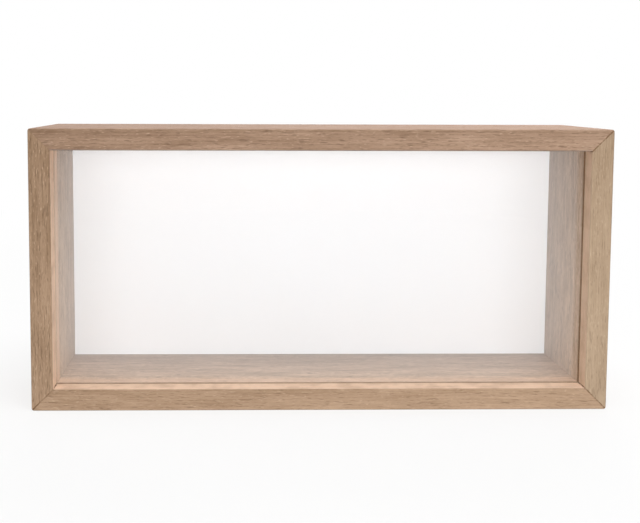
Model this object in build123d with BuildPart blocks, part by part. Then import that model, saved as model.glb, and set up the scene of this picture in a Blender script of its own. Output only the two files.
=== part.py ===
from build123d import *
from math import sqrt
import os

os.makedirs("parts", exist_ok=True)

# A glazed display box of mitred oak boards. Everything is in millimetres. The origin is
# the middle of the underside, +X is to the right as seen from the front, +Y runs from
# the glass to the back and +Z is up. Left and right are as seen from the front.

# The case
case_width = 495.0
case_height = 242.0
case_depth = 114.0
rail_thickness = 18.5  # the width of each board's front face
corner_radius = 2.2  # outer corners of the frame
edge_radius = 0.9  # eased long edges
glue_line = 0.1  # between the faces of each mitre

# The rabbet behind the front lip, and the pane in it
lip_depth = 14.5
rabbet_width = 6.3
pane_thickness = 3.0
pane_edge_gap = 0.8  # round the pane and round both back boards
pane_chamfer = 0.4

# The two boards that close the back, from inside to outside
backing_thickness = 10.0
panel_thickness = 3.8
panel_setback = 0.2  # behind the rails' rear edges
panel_corner_radius = 2.0

# The strips that line the rabbet between the pane and the backing board
liner_gap = 0.1  # to the rails and between the strips
liner_pane_gap = 0.5
liner_chamfer = 0.5

# The keys across the mitres
spline_thickness = 3.0
spline_place = 7.1  # from the case's outer faces to the middle of each key
spline_reach = 0.6  # how much of the wood beyond it each groove takes
spline_gap = 0.1
spline_front_cover = 8.0  # from the rabbet's shoulder to the key's front end

# Turn buttons, and where each one's screw stands on the rails' rear edges
button_reach = 17.0  # from the screw to the tip
button_tail_radius = 4.6
button_tip_radius = 3.2
button_thickness = 1.3
button_lift = 1.0  # how far the tip is bent up for a fingernail
button_bend = 6.0  # length of the bent tip
button_spacing = 300.0  # along the top and bottom rails
button_edge_radius = 0.3
running_gap = 0.1  # under each button, round its screw and round each ring's bar

# Strap hangers on the side rails
hanger_drop = 38.0  # from the top of the case to the ring's axis
strap_width = 7.6
strap_length = 32.0  # from the ring's axis to the strap's lower end
strap_thickness = 1.0
strap_screw_places = (15.0, 26.0)  # below the ring's axis
strap_end_radius = 3.4
wire_diameter = 2.0
ring_width = 10.0  # across the ring at the middle of its wire
ring_height = 10.5  # from the ring's axis to its far end at the middle of its wire
ring_corner_radius = 1.5
ring_joint = 0.2  # between the ends of the wire, inside the eye

# Pan-head screws
screw_radius = 1.45  # over the thread
screw_root_radius = 1.05
screw_length = 12.5  # under the head
screw_pitch = 1.1
screw_head_radius = 2.8
screw_head_height = 1.8
screw_head_edge_radius = 0.7
recess_span = 3.0
recess_slot = 0.8
recess_depth = 1.1
pilot_gap = 0.05  # between the thread and the wood
pilot_spare = 1.0  # beyond the screw's point

# Wall bumpers on the bottom rail
bumper_radius = 4.8
bumper_height = 4.5
bumper_taper = 14.0  # degrees
bumper_edge_radius = 0.8
bumper_inset = 24.0  # from the case's side

# What follows from those
half_width = case_width / 2
half_depth = case_depth / 2
wall_thickness = rail_thickness - rabbet_width
screw_line = wall_thickness / 2  # from the outer face to the row of screws
pane_front = lip_depth - half_depth
pane_back = pane_front + pane_thickness
panel_back = half_depth - panel_setback
panel_front = panel_back - panel_thickness
backing_front = panel_front - backing_thickness
rabbet_inset = wall_thickness + pane_edge_gap
insert_width = case_width - 2 * rabbet_inset
insert_height = case_height - 2 * rabbet_inset
spline_half_width = spline_reach * (sqrt(2) * spline_place - spline_thickness / 2)
spline_length = case_depth - lip_depth - spline_front_cover
eye_radius = wire_diameter / 2 + running_gap
eye_height = eye_radius + strap_thickness

# Each side of the frame: the middle of its outer face, the way its board runs, the
# board's length and the size of the case across it.
sides = {
    "bottom": (Vector(0, 0, 0), Vector(1, 0, 0), case_width, case_height),
    "right": (Vector(half_width, 0, case_height / 2), Vector(0, 0, 1), case_height, case_width),
    "top": (Vector(0, 0, case_height), Vector(-1, 0, 0), case_width, case_height),
    "left": (Vector(-half_width, 0, case_height / 2), Vector(0, 0, -1), case_height, case_width),
}

# Each turn button's side, and its place along that side's run.
buttons = {
    "turn_button_bottom_left": ("bottom", -button_spacing / 2),
    "turn_button_bottom_right": ("bottom", button_spacing / 2),
    "turn_button_right": ("right", 0),
    "turn_button_top_right": ("top", -button_spacing / 2),
    "turn_button_top_left": ("top", button_spacing / 2),
    "turn_button_left": ("left", 0),
}


# A plane on the row of screws, its x inward over the back and its z out of the back.
def rear_spot(side, along, height=0):
    middle, run, _, _ = sides[side]
    inward = run.cross(Vector(0, 1, 0))
    origin = middle + run * along + inward * screw_line + Vector(0, half_depth + height, 0)
    return Plane(origin, x_dir=inward, z_dir=(0, 1, 0))


# A plane at the ring's axis or below it, its y upward and its z out of the back.
def hanger_spot(side, below=0, height=0):
    across = half_width - screw_line
    x = across if side == "right" else -across
    origin = (x, half_depth + height, case_height - hanger_drop - below)
    return Plane(origin, x_dir=(-1, 0, 0), z_dir=(0, 1, 0))


button_spots = {name: rear_spot(*place) for name, place in buttons.items()}
hanger_sides = ("left", "right")


# The mitred rails. Each is an L in section, cut to the mitres and to the rounded
# outline of the case, then eased, grooved for its keys and drilled for its screws.
for side, (middle, run, length, across) in sides.items():
    with BuildPart() as rail:
        with BuildSketch(Plane(middle, x_dir=(0, 1, 0), z_dir=run)):
            with BuildLine():
                Polyline(
                    (-half_depth, 0),
                    (half_depth, 0),
                    (half_depth, wall_thickness),
                    (pane_front, wall_thickness),
                    (pane_front, rail_thickness),
                    (-half_depth, rail_thickness),
                    close=True,
                )
            make_face()
        extrude(amount=length / 2, both=True)

        long_end = length / 2 - glue_line / sqrt(2)
        short_end = long_end - rail_thickness
        with BuildSketch(Plane(middle, x_dir=run, z_dir=(0, -1, 0))):
            with BuildLine():
                Polyline(
                    (-long_end, 0),
                    (long_end, 0),
                    (short_end, rail_thickness),
                    (-short_end, rail_thickness),
                    close=True,
                )
            make_face()
            with Locations((0, across / 2)):
                RectangleRounded(length, across, corner_radius, mode=Mode.INTERSECT)
        extrude(amount=half_depth, both=True, mode=Mode.INTERSECT)

        levels = rail.edges().group_by(Axis.Y)
        rims = levels[0] + levels[-1]
        fillet(rims.filter_by(GeomType.CIRCLE) + rims.filter_by(Axis((0, 0, 0), run)), edge_radius)

        rear = Plane(middle + Vector(0, half_depth, 0), x_dir=run, z_dir=(0, -1, 0))
        for end, turn in ((-1, -45), (1, 45)):
            with BuildSketch(rear):
                with Locations((end * (length / 2 - spline_place), spline_place)):
                    Rectangle(
                        2 * (spline_half_width + spline_gap),
                        spline_thickness + 2 * spline_gap,
                        rotation=turn,
                    )
            extrude(amount=spline_length + spline_gap, mode=Mode.SUBTRACT)

        drilled = [spot for name, spot in button_spots.items() if buttons[name][0] == side]
        grip = screw_length - running_gap - button_thickness
        with Locations(*drilled):
            Hole(screw_radius + pilot_gap, depth=grip + pilot_spare)
        if side in hanger_sides:
            with Locations(*[hanger_spot(side, below) for below in strap_screw_places]):
                Hole(screw_radius + pilot_gap, depth=screw_length - strap_thickness + pilot_spare)
    rail.part.label = f"{side}_rail"
    export_step(rail.part, f"parts/{side}_rail.step")

# The keys glued across the mitres.
for level, z in (("bottom", spline_place), ("top", case_height - spline_place)):
    for side, x in (("left", spline_place - half_width), ("right", half_width - spline_place)):
        turn = 45 if (level, side) in (("bottom", "right"), ("top", "left")) else -45
        with BuildPart() as spline:
            with BuildSketch(Plane((x, half_depth, z), x_dir=(1, 0, 0), z_dir=(0, -1, 0))):
                Rectangle(2 * spline_half_width, spline_thickness, rotation=turn)
            extrude(amount=spline_length)
        spline.part.label = f"corner_spline_{level}_{side}"
        export_step(spline.part, f"parts/corner_spline_{level}_{side}.step")

# The pane, seamed all round.
with BuildPart() as glass_pane:
    with BuildSketch(Plane.XZ.offset(-pane_front)):
        with Locations((0, case_height / 2)):
            Rectangle(insert_width, insert_height)
    extrude(amount=-pane_thickness)
    chamfer(glass_pane.edges(), pane_chamfer)
glass_pane.part.label = "glass_pane"
export_step(glass_pane.part, "parts/glass_pane.step")

# The liners. Those at the top and bottom run the full width, and the side ones stand
# between them. All are flush with the lip and reach from the pane to the backing board.
liner_front = pane_back + liner_pane_gap
liner_depth = backing_front - liner_front
liner_thickness = rabbet_width - liner_gap
liner_length = case_width - 2 * (wall_thickness + liner_gap)
side_liner_length = case_height - 2 * (rail_thickness + liner_gap)
for side, (middle, run, length, across) in sides.items():
    with BuildPart() as liner:
        with BuildSketch(Plane(middle, x_dir=(0, 1, 0), z_dir=run)):
            with Locations((liner_front, wall_thickness + liner_gap)):
                Rectangle(liner_depth, liner_thickness, align=(Align.MIN, Align.MIN))
            chamfer(vertices().group_by(Axis.X)[0], liner_chamfer)
        reach = liner_length if side in ("bottom", "top") else side_liner_length
        extrude(amount=reach / 2, both=True)
    liner.part.label = f"liner_{side}"
    export_step(liner.part, f"parts/liner_{side}.step")

# The white backing board and the hardboard panel behind it.
with BuildPart() as backing_board:
    with BuildSketch(Plane.XZ.offset(-backing_front)):
        with Locations((0, case_height / 2)):
            Rectangle(insert_width, insert_height)
    extrude(amount=-backing_thickness)
backing_board.part.label = "backing_board"
export_step(backing_board.part, "parts/backing_board.step")

with BuildPart() as back_panel:
    with BuildSketch(Plane.XZ.offset(-panel_front)):
        with Locations((0, case_height / 2)):
            RectangleRounded(insert_width, insert_height, panel_corner_radius)
    extrude(amount=-panel_thickness)
back_panel.part.label = "back_panel"
export_step(back_panel.part, "parts/back_panel.step")

# The turn buttons: a tapered plate whose tip is bent up, turning about its screw.
tip_centre = button_reach - button_tip_radius
bend_start = button_reach - button_bend
for name, (side, along) in buttons.items():
    seat = rear_spot(side, along, running_gap)
    with BuildPart() as button:
        with BuildSketch(Plane(seat.origin, x_dir=seat.x_dir, z_dir=-seat.y_dir)):
            with BuildLine():
                Polyline(
                    (-button_tail_radius, 0),
                    (bend_start, 0),
                    (button_reach, button_lift),
                    (button_reach, button_lift + button_thickness),
                    (bend_start, button_thickness),
                    (-button_tail_radius, button_thickness),
                    close=True,
                )
            make_face()
        extrude(amount=button_tail_radius, both=True)
        with BuildSketch(seat):
            Circle(button_tail_radius)
            with Locations((tip_centre, 0)):
                Circle(button_tip_radius)
            make_hull()
        extrude(amount=button_lift + 2 * button_thickness, mode=Mode.INTERSECT)
        fillet(button.edges() - button.edges().group_by(Axis.Y)[0], button_edge_radius)
        with Locations(seat.offset(button_thickness)):
            Hole(screw_radius + running_gap, depth=2 * button_thickness)
    button.part.label = name
    export_step(button.part, f"parts/{name}.step")


# A pan-head wood screw with its head's underside at the origin and its point down.
def pan_screw():
    turns = int((screw_length - 3 * screw_pitch) / screw_pitch)
    thread = []
    for turn in range(turns):
        z = -screw_pitch * (turn + 1)
        thread += [(screw_root_radius, z), (screw_radius, z - screw_pitch / 2)]
    thread_end = -screw_pitch * (turns + 1)
    with BuildPart() as screw:
        with BuildSketch(Plane.XZ):
            with BuildLine():
                Polyline(
                    (0, screw_head_height),
                    (screw_head_radius, screw_head_height),
                    (screw_head_radius, 0),
                    (screw_radius, 0),
                    (screw_radius, -screw_pitch / 2),
                    *thread,
                    (screw_root_radius, thread_end),
                    (0, -screw_length),
                    close=True,
                )
            make_face()
        revolve(axis=Axis.Z)
        fillet(screw.edges().group_by(Axis.Z)[-1], screw_head_edge_radius)
        with BuildSketch(Plane.XY.offset(screw_head_height)):
            Rectangle(recess_span, recess_slot)
            Rectangle(recess_slot, recess_span)
        extrude(amount=-recess_depth, mode=Mode.SUBTRACT)
    return screw.part


screw = pan_screw()
button_screw_height = 2 * running_gap + button_thickness
with BuildPart() as turn_button_screws:
    with Locations(*[rear_spot(*place, button_screw_height) for place in buttons.values()]):
        add(screw)
turn_button_screws.part.label = "turn_button_screws"
export_step(turn_button_screws.part, "parts/turn_button_screws.step")

with BuildPart() as hanger_screws:
    with Locations(
        *[
            hanger_spot(side, below, strap_thickness)
            for side in hanger_sides
            for below in strap_screw_places
        ]
    ):
        add(screw)
hanger_screws.part.label = "hanger_screws"
export_step(hanger_screws.part, "parts/hanger_screws.step")

# The strap hangers: a strip rolled into an eye at its upper end, and the ring in it.
for side in hanger_sides:
    axis = hanger_spot(side)
    with BuildPart() as strap:
        with BuildSketch(Plane(axis.origin, x_dir=axis.y_dir, z_dir=axis.x_dir)):
            with Locations((0, eye_height)):
                Circle(eye_height)
            with Locations((-strap_length, 0)):
                Rectangle(strap_length, strap_thickness, align=(Align.MIN, Align.MIN))
            with Locations((0, eye_height)):
                Circle(eye_radius, mode=Mode.SUBTRACT)
        extrude(amount=strap_width / 2, both=True)
        with BuildSketch(axis):
            with Locations((0, (eye_height - strap_length) / 2)):
                Rectangle(strap_width, strap_length + eye_height)
            lower = vertices().group_by(Axis.Y)[0]
            fillet(lower, strap_end_radius)
        extrude(amount=2 * eye_height, mode=Mode.INTERSECT)
        with Locations(*[hanger_spot(side, below, strap_thickness) for below in strap_screw_places]):
            Hole(screw_radius + running_gap, depth=2 * strap_thickness)
    strap.part.label = f"hanger_strap_{side}"
    export_step(strap.part, f"parts/hanger_strap_{side}.step")

    with BuildPart() as ring:
        ring_plane = hanger_spot(side, 0, eye_height)
        with BuildLine(ring_plane) as wire:
            bow = ring_width / 2
            leg = bow - ring_height
            corner = ring_corner_radius
            Line((ring_joint / 2, 0), (bow - corner, 0))
            CenterArc((bow - corner, -corner), corner, 90, -90)
            Line((bow, -corner), (bow, leg))
            ThreePointArc((bow, leg), (0, -ring_height), (-bow, leg))
            Line((-bow, leg), (-bow, -corner))
            CenterArc((corner - bow, -corner), corner, 180, -90)
            Line((corner - bow, 0), (-ring_joint / 2, 0))
        with BuildSketch(Plane(wire.line @ 0, z_dir=wire.line % 0)):
            Circle(wire_diameter / 2)
        sweep()
    ring.part.label = f"hanger_ring_{side}"
    export_step(ring.part, f"parts/hanger_ring_{side}.step")

# The wall bumpers on the bottom rail's rear edge.
for side, along in (("left", bumper_inset - half_width), ("right", half_width - bumper_inset)):
    with BuildPart() as bumper:
        with BuildSketch(rear_spot("bottom", along)):
            Circle(bumper_radius)
        extrude(amount=bumper_height, taper=bumper_taper)
        fillet(bumper.edges().group_by(Axis.Y)[-1], bumper_edge_radius)
    bumper.part.label = f"wall_bumper_{side}"
    export_step(bumper.part, f"parts/wall_bumper_{side}.step")
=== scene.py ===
import math

import bpy
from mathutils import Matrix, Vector


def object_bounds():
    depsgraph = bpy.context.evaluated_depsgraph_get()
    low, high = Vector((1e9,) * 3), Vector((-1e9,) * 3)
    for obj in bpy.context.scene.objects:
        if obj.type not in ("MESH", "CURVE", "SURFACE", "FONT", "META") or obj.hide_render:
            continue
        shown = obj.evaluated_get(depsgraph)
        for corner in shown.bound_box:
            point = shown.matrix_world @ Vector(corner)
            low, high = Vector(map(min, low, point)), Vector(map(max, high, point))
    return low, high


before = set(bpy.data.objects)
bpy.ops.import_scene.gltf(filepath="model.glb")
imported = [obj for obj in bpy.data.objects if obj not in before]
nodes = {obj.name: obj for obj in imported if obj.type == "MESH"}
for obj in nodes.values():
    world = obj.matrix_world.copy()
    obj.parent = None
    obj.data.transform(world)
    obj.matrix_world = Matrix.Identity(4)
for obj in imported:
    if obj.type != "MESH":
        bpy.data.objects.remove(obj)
cadLow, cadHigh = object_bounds()


def nodeBox(name):  # the lowest and highest corner of a CAD node
    places = [vertex.co for vertex in nodes[name].data.vertices]
    corners = ([pick(place[axis] for place in places) for axis in range(3)] for pick in (min, max))
    return [Vector(corner) for corner in corners]


faceWidth = nodeBox("bottom_rail")[1].z
railDepth = nodeBox("bottom_rail")[1].y - cadLow.y
linerFront, linerBack = (corner.y for corner in nodeBox("liner_bottom"))
print("frame loaded:", len(nodes), "nodes")


# Shader helpers: a value may be a plain number, a tuple or another node's output.

def addNode(tree, kind, **settings):
    node = tree.nodes.new("ShaderNode" + kind)
    for name, value in settings.items():
        setattr(node, name, value)
    return node


def feed(tree, socket, value):
    if isinstance(value, bpy.types.NodeSocket):
        tree.links.new(value, socket)
    else:
        socket.default_value = value


def maths(tree, operation, *values, clamp=False):
    node = addNode(tree, "Math", operation=operation, use_clamp=clamp)
    for socket, value in zip(node.inputs, values):
        feed(tree, socket, value)
    return node.outputs[0]


def vectorMaths(tree, operation, *values):
    node = addNode(tree, "VectorMath", operation=operation)
    for socket, value in zip(node.inputs, values):
        feed(tree, socket, value)
    return node.outputs["Value" if operation in ("LENGTH", "DISTANCE", "DOT_PRODUCT") else "Vector"]


def between(tree, share, low, high):  # low where the share is 0, high where it is 1
    return maths(tree, "MULTIPLY_ADD", share, high - low, low)


def swing(tree, base, noise, share, clamp=False):  # base, moved both ways by a noise around 0.5
    offset = maths(tree, "SUBTRACT", noise, 0.5)
    return maths(tree, "MULTIPLY_ADD", offset, share, base, clamp=clamp)


def step(tree, value, low, high, start=0.0, end=1.0):  # a soft step from start to end
    node = addNode(tree, "MapRange", interpolation_type="SMOOTHSTEP")
    for socket, number in zip(node.inputs, (value, low, high, start, end)):
        feed(tree, socket, number)
    return node.outputs[0]


def mixColor(tree, factor, first, second):
    node = addNode(tree, "Mix", data_type="RGBA")
    feed(tree, node.inputs["Factor"], factor)
    ends = [socket for socket in node.inputs if socket.type == "RGBA"]
    for socket, value in zip(ends, (first, second)):
        feed(tree, socket, value)
    return next(socket for socket in node.outputs if socket.type == "RGBA")


def paint(tree, color, layers):  # each layer is its mask, its share and its colour
    for mask, share, tint in layers:
        color = mixColor(tree, maths(tree, "MULTIPLY", mask, share), color, tint)
    return color


def grainNoise(tree, vector, length, width, detail=2.0, shift=0.0, output="Fac"):
    # noise with features of that length along X and that width across it, in metres
    squeezed = vectorMaths(tree, "MULTIPLY", vector, (1 / length, 1 / width, 1 / width))
    moved = vectorMaths(tree, "ADD", squeezed, (shift, shift, shift))
    node = addNode(tree, "TexNoise")
    feed(tree, node.inputs["Vector"], moved)
    node.inputs["Scale"].default_value = 1.0
    node.inputs["Detail"].default_value = detail
    return node.outputs[output]


def patchy(tree, place, length, width, detail, span, least):  # 1, thinning to least in places
    noise = grainNoise(tree, place, length, width, detail)
    return step(tree, noise, *span, least, 1.0)


def newGroup(name, inputs, outputs):
    tree = bpy.data.node_groups.new(name, "ShaderNodeTree")
    for side, sockets in (("INPUT", inputs), ("OUTPUT", outputs)):
        for socket, kind in sockets.items():
            tree.interface.new_socket(socket, in_out=side, socket_type="NodeSocket" + kind)
    return tree, tree.nodes.new("NodeGroupInput").outputs, tree.nodes.new("NodeGroupOutput").inputs


def placeGroup(tree, group, **values):
    node = addNode(tree, "Group", node_tree=group)
    for name, value in values.items():
        feed(tree, node.inputs[name], value)
    return node


def newMaterial(name, **plain):
    material = bpy.data.materials.new(name)
    material.use_nodes = True
    tree = material.node_tree
    shader = tree.nodes["Principled BSDF"]
    for socket, value in plain.items():
        shader.inputs[socket.replace("_", " ")].default_value = value
    return material, tree, shader


def objectPlace(tree, shift=(0, 0, 0), turn=(0, 0, 0)):
    mapping = addNode(tree, "Mapping")
    mapping.inputs["Location"].default_value = shift
    mapping.inputs["Rotation"].default_value = turn
    tree.links.new(addNode(tree, "TexCoord").outputs["Object"], mapping.inputs["Vector"])
    return mapping.outputs[0]


def finishSurface(tree, shader, color, roughness, height, bumpDepth):
    tree.links.new(color, shader.inputs["Base Color"])
    tree.links.new(roughness, shader.inputs["Roughness"])
    bump = addNode(tree, "Bump")
    bump.inputs["Distance"].default_value = bumpDepth
    tree.links.new(height, bump.inputs["Height"])
    tree.links.new(bump.outputs["Normal"], shader.inputs["Normal"])


def dress(name, material):  # the CAD node keeps its shape and takes this finish
    mesh = nodes[name].data
    mesh.materials.clear()
    mesh.materials.append(material)
    mesh.polygons.foreach_set("material_index", [0] * len(mesh.polygons))


# Oak. Its figure is cut out of a log that lies along X with its heart at Y = Z = 0. Each mark has a
# length and a width, a share of the colour, the span of noise over which it comes in, the detail of
# that noise, and a shift that sets it apart from the others.
oak = dict(
    light=(0.565, 0.400, 0.276), dark=(0.300, 0.193, 0.119),
    pore=(0.150, 0.090, 0.054), fleck=(0.700, 0.520, 0.375),
    ringWidth=0.0021, ringShare=0.12, ringUneven=1.6, ringRun=0.45,
    earlyEnds=(0.02, 0.55), nextBegins=(0.90, 1.0), latePores=0.25,
    wanderLength=0.36, wanderWidth=0.09, wander=0.010,
    rippleLength=0.055, rippleWidth=0.010, ripple=0.0012,
    toneLength=0.050, toneWidth=0.0065, toneShare=0.95,
    streakLength=0.020, streakWidth=0.0011, streakShare=0.60,
    fibreLength=0.007, fibreWidth=0.00045, fibreShare=0.50,
    poreLength=0.0050, poreWidth=0.00045, poreShare=0.55, poreSpan=(0.56, 0.70),
    dashLength=0.0085, dashWidth=0.0009, dashShare=0.48, dashSpan=(0.58, 0.74),
    fleckLength=0.0045, fleckWidth=0.0009, fleckShare=0.42, fleckSpan=(0.60, 0.74),
    detail=dict(wander=1, ripple=1, tone=2, streak=3, fibre=2, pore=1, dash=1, fleck=1),
    shift=dict(wander=0, ripple=0, tone=0, streak=3, fibre=5, pore=9, dash=13, fleck=17),
    roughness=0.60, pitRoughness=0.20, darkDepth=0.4, bumpDepth=0.00012,
)


def oakNoise(tree, place, part, output="Fac"):
    size = oak[part + "Length"], oak[part + "Width"]
    return grainNoise(tree, place, *size, oak["detail"][part], oak["shift"][part], output)


def oakMark(tree, place, part):
    mark = step(tree, oakNoise(tree, place, part), *oak[part + "Span"])
    return maths(tree, "MULTIPLY", mark, oak[part + "Share"])


def makeOakFigure():
    tree, given, made = newGroup(
        "oakFigure",
        {
            "Vector": "Vector",
            "Light": "Color", "Dark": "Color", "Pore": "Color", "Fleck": "Color",
            "Shade": "Float", "Contrast": "Float",
        },
        {"Color": "Color", "Roughness": "Float", "Height": "Float"},
    )
    place = given["Vector"]
    contrast = given["Contrast"]
    for part in ("wander", "ripple"):
        drift = oakNoise(tree, place, part, output="Color")
        drift = vectorMaths(tree, "SUBTRACT", drift, (0.5, 0.5, 0.5))
        drift = vectorMaths(tree, "MULTIPLY", drift, (0, oak[part], oak[part]))
        place = vectorMaths(tree, "ADD", place, drift)

    # growth rings of uneven width, dark and porous where each begins
    radius = vectorMaths(tree, "LENGTH", vectorMaths(tree, "MULTIPLY", place, (0, 1, 1)))
    count = maths(tree, "DIVIDE", radius, oak["ringWidth"])
    uneven = addNode(tree, "TexNoise", noise_dimensions="1D")
    uneven.inputs["Scale"].default_value = oak["ringRun"]
    tree.links.new(count, uneven.inputs["W"])
    count = maths(tree, "MULTIPLY_ADD", uneven.outputs["Fac"], oak["ringUneven"], count)
    phase = maths(tree, "FRACT", count)
    early = step(tree, phase, *oak["earlyEnds"], 1, 0)
    early = maths(tree, "MAXIMUM", early, step(tree, phase, *oak["nextBegins"]))

    # how dark the wood is: its rings, then slow tones, streaks and fibres
    dark = maths(tree, "MULTIPLY", maths(tree, "SUBTRACT", early, 0.5), oak["ringShare"])
    for part in ("tone", "streak", "fibre"):
        dark = swing(tree, dark, oakNoise(tree, place, part), oak[part + "Share"])
    dark = maths(tree, "MULTIPLY_ADD", dark, contrast, 0.5)
    dark = maths(tree, "ADD", dark, given["Shade"], clamp=True)
    color = mixColor(tree, dark, given["Light"], given["Dark"])

    # short pale flecks, then the open pores and the longer dashes between them
    flecks = maths(tree, "MULTIPLY", oakMark(tree, place, "fleck"), contrast, clamp=True)
    color = mixColor(tree, flecks, color, given["Fleck"])
    porous = between(tree, early, oak["latePores"], 1.0)
    pores = maths(tree, "MULTIPLY", oakMark(tree, place, "pore"), porous)
    pits = maths(tree, "MAXIMUM", pores, oakMark(tree, place, "dash"))
    pitted = maths(tree, "MULTIPLY", pits, contrast, clamp=True)
    color = mixColor(tree, pitted, color, given["Pore"])

    tree.links.new(color, made["Color"])
    roughness = maths(tree, "MULTIPLY_ADD", pits, oak["pitRoughness"], oak["roughness"])
    tree.links.new(roughness, made["Roughness"])
    height = maths(tree, "SUBTRACT", maths(tree, "MULTIPLY", dark, -oak["darkDepth"]), pits)
    tree.links.new(height, made["Height"])
    return tree


# What marks the rails: the brown seam at each mitre, painted light on the lip inside the opening,
# painted shade on the sill at its front edge, edges painted darker as shade (paler, as a painted
# highlight, on the top rail) and worn smoother, and a tone that drifts across a front face.
marks = dict(
    seamCore=0.00025, seamEdge=0.00080, seamColor=(0.140, 0.070, 0.032, 1), seamShare=0.85,
    seamPatches=dict(length=0.0042, width=0.0042, detail=3.0, span=(0.38, 0.60), least=0.28),
    closedEnds=(0.025, 0.050), closedShare=0.12,  # the tightest joint, at the top left corner
    lipLightColor=(0.850, 0.630, 0.475, 1), lipBehind=(0.0002, 0.0010), lipSoftness=(0.0012, 0.0004),
    lipPatches=dict(length=0.016, width=0.016, detail=4.0, span=(0.32, 0.62), least=0.50),
    sillShadeColor=(0.170, 0.150, 0.140, 1), frontEnds=(0.0004, 0.0014),
    edgeWidth=0.0011, edgeShare=0.5, edgeRoughness=-0.15, edgeDepth=0.5,
    edgePatches=dict(length=0.012, width=0.004, detail=3.0, span=(0.30, 0.62), least=0.45),
    specular=0.05,
)


def distances(tree, place):  # to the nearer side, to the top or bottom, and to the front
    parts = addNode(tree, "SeparateXYZ")
    tree.links.new(place, parts.inputs[0])
    gaps = []
    for axis in (0, 2):
        middle, half = (cadHigh[axis] + cadLow[axis]) / 2, (cadHigh[axis] - cadLow[axis]) / 2
        off = maths(tree, "ABSOLUTE", maths(tree, "SUBTRACT", parts.outputs[axis], middle))
        gaps.append(maths(tree, "SUBTRACT", half, off))
    return gaps[0], gaps[1], maths(tree, "SUBTRACT", parts.outputs["Y"], cadLow.y)


def makeRailMarks():
    masks = ("Seam", "LipLight", "Edge", "Drift", "Front", "SillShade")
    tree, given, made = newGroup("railMarks", {"Vector": "Vector"}, dict.fromkeys(masks, "Float"))
    place = given["Vector"]
    side, rim, depth = distances(tree, place)
    inset = maths(tree, "MINIMUM", side, rim)

    away = maths(tree, "ABSOLUTE", maths(tree, "SUBTRACT", side, rim))
    away = maths(tree, "MULTIPLY", away, math.sin(math.radians(45)))  # square to the mitre
    line = step(tree, away, marks["seamCore"], marks["seamEdge"], 1, 0)
    line = maths(tree, "MULTIPLY", line, patchy(tree, place, **marks["seamPatches"]))
    corner = vectorMaths(tree, "DISTANCE", place, (cadLow.x, cadLow.y, cadHigh.z))
    closed = step(tree, corner, *marks["closedEnds"], marks["closedShare"], 1.0)
    tree.links.new(maths(tree, "MULTIPLY", line, closed), made["Seam"])

    # the lip inside the opening, painted paler as the light that falls on it
    within = step(tree, inset, *(faceWidth - short for short in marks["lipSoftness"]))
    lip = maths(tree, "MULTIPLY", within, step(tree, depth, *marks["lipBehind"]))
    lip = maths(tree, "MULTIPLY", lip, patchy(tree, place, **marks["lipPatches"]))
    tree.links.new(lip, made["LipLight"])
    front = step(tree, depth, *marks["frontEnds"], 1, 0)
    # the sill, a strip of the sight edge at the front, painted as shade
    tree.links.new(maths(tree, "MULTIPLY", within, front), made["SillShade"])
    tree.links.new(front, made["Front"])

    # an edge is where two of the three distances are small at once
    nearEnd = maths(tree, "MINIMUM", depth, maths(tree, "SUBTRACT", railDepth, depth))
    second = maths(tree, "MINIMUM", maths(tree, "MAXIMUM", side, rim), nearEnd)
    edge = step(tree, maths(tree, "MAXIMUM", inset, second), 0.0, marks["edgeWidth"], 1, 0)
    edge = maths(tree, "MULTIPLY", edge, patchy(tree, place, **marks["edgePatches"]))
    tree.links.new(edge, made["Edge"])

    across = maths(tree, "SUBTRACT", maths(tree, "DIVIDE", inset, faceWidth), 0.5)
    tree.links.new(maths(tree, "MULTIPLY", across, front), made["Drift"])
    return tree


# What marks the liners: a shadow line painted where they meet the pane, a pale band behind it, a
# painted grey sheen and shade that grows towards the board, and painted shade beside the board.
liners = dict(
    lineEnds=(0.0009, 0.0018), paneShadowColor=(0.150, 0.066, 0.012, 1), lineWander=0.0006,
    freshEnds=(0.0084, 0.0140), freshColor=(0.810, 0.605, 0.465, 1),
    sheenAndShadeShare=0.45, sheenAndShadeColor=(0.520, 0.490, 0.480, 1),
    boardShadeWidth=0.004, boardShadeShare=0.20, boardShadeColor=(0.280, 0.250, 0.240, 1), boardShadeWander=0.003,
    wanderLength=0.010, wanderWidth=0.003, wanderDetail=3.0, specular=0.6,
)


def makeLinerMarks():
    masks = ("Line", "Fresh", "Fade", "BoardShade")
    tree, given, made = newGroup("linerMarks", {"Vector": "Vector"}, dict.fromkeys(masks, "Float"))
    parts = addNode(tree, "SeparateXYZ")
    tree.links.new(given["Vector"], parts.inputs[0])
    fromFront = maths(tree, "SUBTRACT", parts.outputs["Y"], linerFront)
    toBack = maths(tree, "SUBTRACT", linerBack, parts.outputs["Y"])
    wander = (liners["wander" + part] for part in ("Length", "Width", "Detail"))
    uneven = grainNoise(tree, given["Vector"], *wander)
    fromFront = swing(tree, fromFront, uneven, liners["lineWander"])
    toBack = swing(tree, toBack, uneven, liners["boardShadeWander"])

    # a line painted as shadow where the liner meets the pane, and the pale band behind it
    tree.links.new(step(tree, fromFront, *liners["lineEnds"], 1, 0), made["Line"])
    tree.links.new(step(tree, fromFront, *liners["freshEnds"], 1, 0), made["Fresh"])
    # painted grey sheen and shade, growing towards the board
    sheenAndShade = maths(tree, "DIVIDE", fromFront, linerBack - linerFront, clamp=True)
    tree.links.new(sheenAndShade, made["Fade"])
    # painted shade beside the board
    tree.links.new(step(tree, toBack, 0, liners["boardShadeWidth"], 1, 0), made["BoardShade"])
    return tree


oakFigure = makeOakFigure()
railMarks = makeRailMarks()
linerMarks = makeLinerMarks()
upright = (0, math.radians(90), 0)  # how the log is turned, so that the grain runs along a board
flat = (0, 0, 0)
shadedEdge = (0.215, 0.170, 0.135, 1)  # the colour painted on edges as shade
litEdge = (0.620, 0.440, 0.335, 1)  # and on the top rail's edges as a painted highlight
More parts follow.
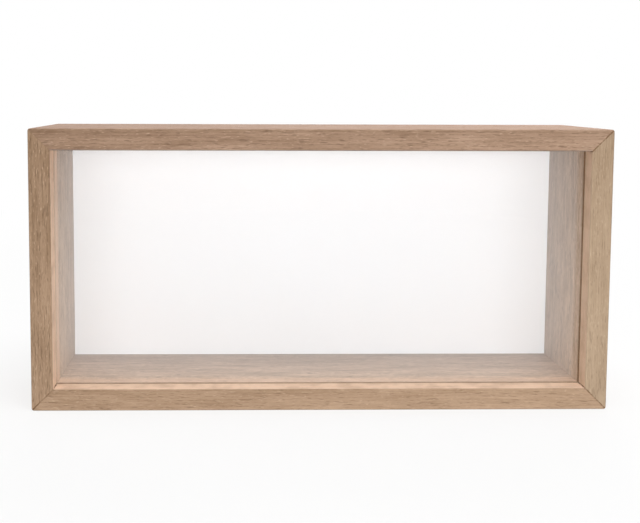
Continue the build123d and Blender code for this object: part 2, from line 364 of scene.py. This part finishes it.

# Each board: the way its grain runs, where in the log it was cut, how much painted shade it gains
# with each metre from the case's middle, its own tone, and how strong its figure is. A rail's front
# face is painted darker than its other sides, as shade, and may drift in tone across its width. The
# rest are the shares of the marks above, and the colour of its edges: painted shade, and on the top
# rail a painted highlight.
boards = {
    "bottom_rail": dict(
        turn=flat, cut=(0.20, 0.118, 0.062), slope=(-0.45, 0, 0),
        tone=(1.12, 1.12, 1.18), contrast=0.85,
        front=(0.845, 0.84, 0.83), drift=0.22, lip=0.75, sill=0.0, edge=shadedEdge,
    ),
    "top_rail": dict(
        turn=flat, cut=(1.40, 0.122, -0.150), slope=(-0.90, 0, 0),
        tone=(0.82, 0.745, 0.76), contrast=1.15,
        front=(0.66, 0.63, 0.64), drift=-0.32, lip=0.78, sill=0.6, edge=litEdge,
    ),
    "left_rail": dict(
        turn=upright, cut=(2.30, 0.125, -0.170), slope=(0, 0, 1.6),
        tone=(1.12, 1.12, 1.18), contrast=1.15,
        front=(0.680, 0.660, 0.635), drift=0.0, lip=0.81, sill=0.0, edge=shadedEdge,
    ),
    "right_rail": dict(
        turn=upright, cut=(3.10, 0.117, 0.330), slope=(0, 0, 1.4),
        tone=(1.12, 1.13, 1.14), contrast=0.75,
        front=(0.825, 0.875, 0.885), drift=-0.08, lip=0.39, sill=0.0, edge=shadedEdge,
    ),
    # The liners' tones are paler and greyer than the rails', as painted light and sheen inside the
    # case.
    "liner_bottom": dict(
        turn=flat, cut=(4.20, 0.110, 0.050), slope=(0, 0, 0),
        tone=(1.36, 1.44, 1.60), contrast=1.4, line=0.50, fresh=0.3,
    ),
    "liner_top": dict(
        turn=flat, cut=(5.50, 0.100, -0.290), slope=(0, 0, 0),
        tone=(1.34, 1.42, 1.58), contrast=1.6, line=0.50, fresh=0.3,
    ),
    "liner_left": dict(
        turn=upright, cut=(6.40, 0.120, -0.300), slope=(0, 0, 2.8),
        tone=(1.31, 1.41, 1.55), contrast=1.6, line=0.25, fresh=0.7,
    ),
    "liner_right": dict(
        turn=upright, cut=(7.30, 0.130, 0.310), slope=(0, 0, 2.7),
        tone=(1.15, 1.215, 1.30), contrast=1.6, line=0.80, fresh=0.0,
    ),
}


def toned(color, tone):
    return tuple(channel * share for channel, share in zip(color, tone)) + (1,)


def makeFigure(tree, turn, cut, slope, tone, contrast, drift=0.0):
    figure = placeGroup(tree, oakFigure, Vector=objectPlace(tree, cut, turn), Contrast=contrast)
    for socket in ("Light", "Dark", "Pore", "Fleck"):
        figure.inputs[socket].default_value = toned(oak[socket.lower()], tone)
    # painted shade, deepening along the shade slope with each metre from the case's middle
    fromMiddle = vectorMaths(tree, "SUBTRACT", objectPlace(tree), (cadLow + cadHigh) / 2)
    shade = maths(tree, "ADD", drift, vectorMaths(tree, "DOT_PRODUCT", fromMiddle, slope))
    tree.links.new(shade, figure.inputs["Shade"])
    return figure.outputs


def makeRail(name, turn, cut, slope, tone, contrast, front, drift, lip, sill, edge):
    material, tree, shader = newMaterial("oak_" + name, Specular_IOR_Level=marks["specular"])
    found = placeGroup(tree, railMarks, Vector=objectPlace(tree)).outputs
    drifted = maths(tree, "MULTIPLY", found["Drift"], drift)
    figure = makeFigure(tree, turn, cut, slope, tone, contrast, drifted)
    # the front face painted darker than the rail's other sides, as shade
    frontShade = toned([new / old for new, old in zip(front, tone)], (1, 1, 1))
    shade = mixColor(tree, found["Front"], (1, 1, 1, 1), frontShade)
    # lip: painted light; sill and edges: painted shade (top rail edges: painted highlight); seams
    color = paint(
        tree, vectorMaths(tree, "MULTIPLY", figure["Color"], shade),
        (
            (found["LipLight"], lip, marks["lipLightColor"]),
            (found["SillShade"], sill, marks["sillShadeColor"]),
            (found["Edge"], marks["edgeShare"], edge),
            (found["Seam"], marks["seamShare"], marks["seamColor"]),
        ),
    )
    worn = found["Edge"]
    roughness = maths(tree, "MULTIPLY_ADD", worn, marks["edgeRoughness"], figure["Roughness"])
    height = maths(tree, "MULTIPLY_ADD", worn, -marks["edgeDepth"], figure["Height"])
    finishSurface(tree, shader, color, roughness, height, oak["bumpDepth"])
    return material


def makeLiner(name, turn, cut, slope, tone, contrast, line, fresh):
    material, tree, shader = newMaterial("oak_" + name, Specular_IOR_Level=liners["specular"])
    found = placeGroup(tree, linerMarks, Vector=objectPlace(tree)).outputs
    figure = makeFigure(tree, turn, cut, slope, tone, contrast)
    # painted grey sheen and shade, painted shade beside the board, the pale band, the painted
    # shadow line
    color = paint(
        tree, figure["Color"],
        (
            (found["Fade"], liners["sheenAndShadeShare"], liners["sheenAndShadeColor"]),
            (found["BoardShade"], liners["boardShadeShare"], liners["boardShadeColor"]),
            (found["Fresh"], fresh, liners["freshColor"]),
            (found["Line"], line, liners["paneShadowColor"]),
        ),
    )
    finishSurface(tree, shader, color, figure["Roughness"], figure["Height"], oak["bumpDepth"])
    return material


for name, board in boards.items():
    make = makeRail if name.endswith("_rail") else makeLiner
    dress(name, make(name, **board))
print("oak rails and liners dressed")


# The pane: clear float glass that lets the lamps' light through without bending it.
pane = dict(ior=1.5, tint=(0.992, 0.997, 0.994, 1), throughTint=(0.97, 0.97, 0.97, 1))


def makeGlass():
    material, tree, shader = newMaterial(
        "clear_glass", Base_Color=pane["tint"], Roughness=0.0, IOR=pane["ior"],
        Transmission_Weight=1.0,
    )
    path = addNode(tree, "LightPath").outputs
    passing = maths(tree, "MAXIMUM", path["Is Shadow Ray"], path["Is Diffuse Ray"])
    clear = addNode(tree, "BsdfTransparent")
    clear.inputs["Color"].default_value = pane["throughTint"]
    mix = addNode(tree, "MixShader")
    tree.links.new(passing, mix.inputs[0])
    tree.links.new(shader.outputs[0], mix.inputs[1])
    tree.links.new(clear.outputs[0], mix.inputs[2])
    tree.links.new(mix.outputs[0], tree.nodes["Material Output"].inputs["Surface"])
    return material


dress("glass_pane", makeGlass())
print("glass pane dressed")


# The back: a paper-faced foam board, with a hardboard panel over it.
foamBoard = dict(
    shaded=(0.925, 0.943, 0.972, 1), clean=(0.938, 0.953, 0.980, 1), cloudSize=0.05,
    toothSize=0.0005, toothDepth=0.00003, roughness=(0.60, 0.75), specular=0.3,
)
hardboard = dict(
    dark=(0.215, 0.126, 0.070, 1), light=(0.345, 0.222, 0.136, 1), cloudSize=0.030,
    fibreLength=0.0022, fibreWidth=0.0007, fibreShare=1.3, fibreDepth=0.00006,
    speck=(0.120, 0.066, 0.036, 1), speckLength=0.0011, speckWidth=0.0007, speckSpan=(0.64, 0.74),
    speckShare=0.4, roughness=(0.4, 0.7), specular=0.3,
)


def makeFoamBoard():
    material, tree, shader = newMaterial("foam_board", Specular_IOR_Level=foamBoard["specular"])
    place = objectPlace(tree)
    cloud = grainNoise(tree, place, foamBoard["cloudSize"], foamBoard["cloudSize"])
    tooth = grainNoise(tree, place, foamBoard["toothSize"], foamBoard["toothSize"], detail=3.0)
    color = mixColor(tree, cloud, foamBoard["shaded"], foamBoard["clean"])
    roughness = between(tree, cloud, *foamBoard["roughness"])
    finishSurface(tree, shader, color, roughness, tooth, foamBoard["toothDepth"])
    return material


def makeHardboard():
    material, tree, shader = newMaterial("hardboard", Specular_IOR_Level=hardboard["specular"])
    place = objectPlace(tree)
    cloud = grainNoise(tree, place, hardboard["cloudSize"], hardboard["cloudSize"], detail=3.0)
    fibreSize = hardboard["fibreLength"], hardboard["fibreWidth"]
    fibres = grainNoise(tree, place, *fibreSize, detail=3.0, shift=4.0)
    speckSize = hardboard["speckLength"], hardboard["speckWidth"]
    specks = grainNoise(tree, place, *speckSize, detail=1.0, shift=9.0)
    specks = step(tree, specks, *hardboard["speckSpan"])
    mottle = swing(tree, cloud, fibres, hardboard["fibreShare"], clamp=True)
    color = mixColor(tree, mottle, hardboard["dark"], hardboard["light"])
    color = paint(tree, color, [(specks, hardboard["speckShare"], hardboard["speck"])])
    roughness = between(tree, fibres, *hardboard["roughness"])
    finishSurface(tree, shader, color, roughness, fibres, hardboard["fibreDepth"])
    return material


dress("backing_board", makeFoamBoard())
dress("back_panel", makeHardboard())
print("foam board and back panel dressed")


# Beech keys in the corners, of close, flecked grain.
beech = dict(
    dark=(0.360, 0.215, 0.130, 1), light=(0.560, 0.380, 0.250, 1), cloudSize=0.006,
    fleckSize=0.0006, fleckShare=0.8, fleckDepth=0.00006, roughness=(0.5, 0.7), specular=0.3,
)


def makeBeech():
    material, tree, shader = newMaterial("beech", Specular_IOR_Level=beech["specular"])
    place = objectPlace(tree)
    flecks = grainNoise(tree, place, beech["fleckSize"], beech["fleckSize"])
    cloud = grainNoise(tree, place, beech["cloudSize"], beech["cloudSize"])
    mottle = swing(tree, cloud, flecks, beech["fleckShare"], clamp=True)
    color = mixColor(tree, mottle, beech["dark"], beech["light"])
    roughness = between(tree, cloud, *beech["roughness"])
    finishSurface(tree, shader, color, roughness, flecks, beech["fleckDepth"])
    return material


keyWood = makeBeech()
for name in nodes:
    if name.startswith("corner_spline"):
        dress(name, keyWood)
print("corner keys dressed")


# Plated steel with a tumbled surface, fine scratches and dulled patches.
plating = dict(
    cloudSize=0.004, dullSpan=(0.42, 0.68), dullRoughness=0.16,
    scratchLength=0.006, scratchWidth=0.00012, scratchSpan=(0.62, 0.75), scratchRoughness=0.12,
    peelSize=0.0004, peelDepth=0.5, bumpDepth=0.00001,
)
metals = {
    "zinc_plate": dict(
        bright=(0.53, 0.54, 0.56, 1), dull=(0.37, 0.38, 0.40, 1), roughness=0.26, turn=(0, 0.6, 0),
    ),
    "ring_steel": dict(
        bright=(0.50, 0.49, 0.48, 1), dull=(0.34, 0.33, 0.32, 1), roughness=0.22, turn=(0.5, 0, 0),
    ),
    "screw_steel": dict(
        bright=(0.50, 0.48, 0.43, 1), dull=(0.33, 0.31, 0.28, 1), roughness=0.30, turn=(0, 0, 0.8),
    ),
}


def makeMetalFinish():
    tree, given, made = newGroup(
        "metalFinish",
        {"Vector": "Vector", "Bright": "Color", "Dull": "Color", "Clean Roughness": "Float"},
        {"Color": "Color", "Roughness": "Float", "Height": "Float"},
    )
    place = given["Vector"]
    cloud = grainNoise(tree, place, plating["cloudSize"], plating["cloudSize"], detail=3.0)
    dull = step(tree, cloud, *plating["dullSpan"])
    scratchSize = plating["scratchLength"], plating["scratchWidth"]
    scratches = grainNoise(tree, place, *scratchSize, shift=7.0)
    scratches = step(tree, scratches, *plating["scratchSpan"])
    peel = grainNoise(tree, place, plating["peelSize"], plating["peelSize"], shift=3.0)
    tree.links.new(mixColor(tree, dull, given["Bright"], given["Dull"]), made["Color"])
    rough = maths(tree, "MULTIPLY_ADD", dull, plating["dullRoughness"], given["Clean Roughness"])
    rough = maths(tree, "MULTIPLY_ADD", scratches, plating["scratchRoughness"], rough)
    tree.links.new(rough, made["Roughness"])
    height = maths(tree, "SUBTRACT", maths(tree, "MULTIPLY", peel, plating["peelDepth"]), scratches)
    tree.links.new(height, made["Height"])
    return tree


metalFinish = makeMetalFinish()


def makeMetal(name, bright, dull, roughness, turn):
    material, tree, shader = newMaterial(name, Metallic=1.0)
    place = objectPlace(tree, turn=turn)
    finish = placeGroup(tree, metalFinish, Vector=place, Bright=bright, Dull=dull)
    finish.inputs["Clean Roughness"].default_value = roughness
    surface = (finish.outputs[part] for part in ("Color", "Roughness", "Height"))
    finishSurface(tree, shader, *surface, plating["bumpDepth"])
    return material


plated = {name: makeMetal(name, **metal) for name, metal in metals.items()}
for name in nodes:
    if name.endswith("_screws"):
        dress(name, plated["screw_steel"])
    elif name.startswith("hanger_ring"):
        dress(name, plated["ring_steel"])
    elif name.startswith(("turn_button", "hanger_strap")):
        dress(name, plated["zinc_plate"])
print("buttons, hangers and screws dressed")


# Rubber bumpers with a little dust on them.
rubber = dict(
    clean=(0.035, 0.033, 0.031, 1), dusty=(0.110, 0.104, 0.096, 1),
    dustSize=0.0012, dustSpan=(0.45, 0.75), dustDepth=0.00002,
    roughness=(0.50, 0.75), specular=0.4,
)


def makeRubber():
    material, tree, shader = newMaterial("bumper_rubber", Specular_IOR_Level=rubber["specular"])
    place = objectPlace(tree)
    dust = grainNoise(tree, place, rubber["dustSize"], rubber["dustSize"], detail=3.0)
    dust = step(tree, dust, *rubber["dustSpan"])
    color = mixColor(tree, dust, rubber["clean"], rubber["dusty"])
    roughness = between(tree, dust, *rubber["roughness"])
    finishSurface(tree, shader, color, roughness, dust, rubber["dustDepth"])
    return material


bumperRubber = makeRubber()
for name in nodes:
    if name.startswith("wall_bumper"):
        dress(name, bumperRubber)
print("bumpers dressed")


# The studio: a pale floor that fades to white away from the case, a white surround and soft lamps.
studio = dict(
    floorSize=9.0, floorColor=(0.60, 0.60, 0.60, 1), seenColor=(0.82, 0.82, 0.82, 1),
    floorRoughness=0.9, floorGlow=0.72, glowEnds=(0.35, 1.3), ambient=0.17,
)


def seenWays(tree):  # 1 for what the camera, a mirror or clear glass sees
    path = addNode(tree, "LightPath").outputs
    seen = maths(tree, "MAXIMUM", path["Is Camera Ray"], path["Is Glossy Ray"])
    return maths(tree, "MAXIMUM", seen, path["Is Transmission Ray"])


def makeWorld():
    world = bpy.data.worlds.new("studio")
    world.use_nodes = True
    bpy.context.scene.world = world
    tree = world.node_tree
    background = tree.nodes["Background"]
    background.inputs["Color"].default_value = (1, 1, 1, 1)
    strength = between(tree, seenWays(tree), studio["ambient"], 1)
    tree.links.new(strength, background.inputs["Strength"])


def makeFloor():
    bpy.ops.mesh.primitive_plane_add(size=studio["floorSize"])
    floor = bpy.context.object
    floor.name = "studioFloor"
    material, tree, shader = newMaterial(
        "pale_floor", Roughness=studio["floorRoughness"], Specular_IOR_Level=0.0
    )
    seen = seenWays(tree)
    tint = mixColor(tree, seen, studio["floorColor"], studio["seenColor"])
    tree.links.new(tint, shader.inputs["Base Color"])
    away = vectorMaths(tree, "LENGTH", objectPlace(tree))
    glowing = step(tree, away, *studio["glowEnds"], studio["floorGlow"], 1.0)
    mix = addNode(tree, "MixShader")
    tree.links.new(maths(tree, "MULTIPLY", seen, glowing), mix.inputs[0])
    tree.links.new(shader.outputs[0], mix.inputs[1])
    tree.links.new(addNode(tree, "Emission").outputs[0], mix.inputs[2])
    tree.links.new(mix.outputs[0], tree.nodes["Material Output"].inputs["Surface"])
    floor.data.materials.append(material)


# Each lamp: where it stands and aims, its size in metres and its power in watts. Metal and glass
# mirror some of them and not the others.
lamps = {
    "low": dict(
        place=(0.05, -1.65, 0.21), aim=(0, 0, 0.13), size=(0.45, 0.4), power=12.9, mirrored=False,
    ),
    "fill": dict(
        place=(-0.65, -1.60, 0.32), aim=(0, 0, 0.12), size=(0.7, 0.6), power=4.2, mirrored=False,
    ),
    "front": dict(
        place=(0.65, -1.50, 0.36), aim=(0.05, 0, 0.12), size=(0.7, 0.6), power=3.8, mirrored=False,
    ),
    "high": dict(
        place=(0.20, -0.58, 2.20), aim=(0, 0, 0.1), size=(1.0, 1.0), power=28.5, mirrored=True,
    ),
    "left": dict(
        place=(-1.95, 0.20, 0.72), aim=(0, 0, 0.12), size=(2.0, 1.3), power=18.5, mirrored=True,
    ),
    "right": dict(
        place=(1.95, 0.30, 0.72), aim=(0, 0, 0.12), size=(2.0, 1.3), power=16.0, mirrored=True,
    ),
    "rear": dict(
        place=(0.30, 1.90, 1.25), aim=(0, 0, 0.12), size=(2.8, 2.3), power=31.0, mirrored=True,
    ),
}


def makeLamp(name, place, aim, size, power, mirrored):
    light = bpy.data.lights.new(name, "AREA")
    light.shape = "RECTANGLE"
    light.size, light.size_y = size
    light.energy = power
    lamp = bpy.data.objects.new(name, light)
    bpy.context.scene.collection.objects.link(lamp)
    lamp.location = place
    lamp.visible_glossy = lamp.visible_transmission = mirrored
    toward = [end - start for start, end in zip(place, aim)]
    lamp.rotation_euler = Vector(toward).to_track_quat("-Z", "Y").to_euler()


for item in bpy.context.selected_objects:
    item.select_set(False)
makeWorld()
makeFloor()
for name, lamp in lamps.items():
    makeLamp(name, **lamp)
print("floor, surround and lamps ready")

# The camera stands a little left of the middle and just above the top of the case. It is turned
# down, to the right and about its own axis, in degrees. Its shift is in pixels of a picture that is
# widthPixels wide.
view = dict(
    place=(-0.0710, -0.7658, 0.2702), lens=47.53, down=4.02, right=0.938, roll=0.174,
    shiftPixels=(67.75, -107.0), widthPixels=640,
)


def makeCamera():
    camera = bpy.data.cameras.new("camera")
    camera.lens = view["lens"]
    shift = [pixels / view["widthPixels"] for pixels in view["shiftPixels"]]
    camera.shift_x, camera.shift_y = shift
    holder = bpy.data.objects.new("camera", camera)
    bpy.context.scene.collection.objects.link(holder)
    holder.location = view["place"]
    turns = (90 - view["down"], -view["roll"], -view["right"])
    holder.rotation_euler = [math.radians(turn) for turn in turns]
    bpy.context.scene.camera = holder


makeCamera()
bpy.context.scene.view_settings.view_transform = "Standard"
print("camera ready")
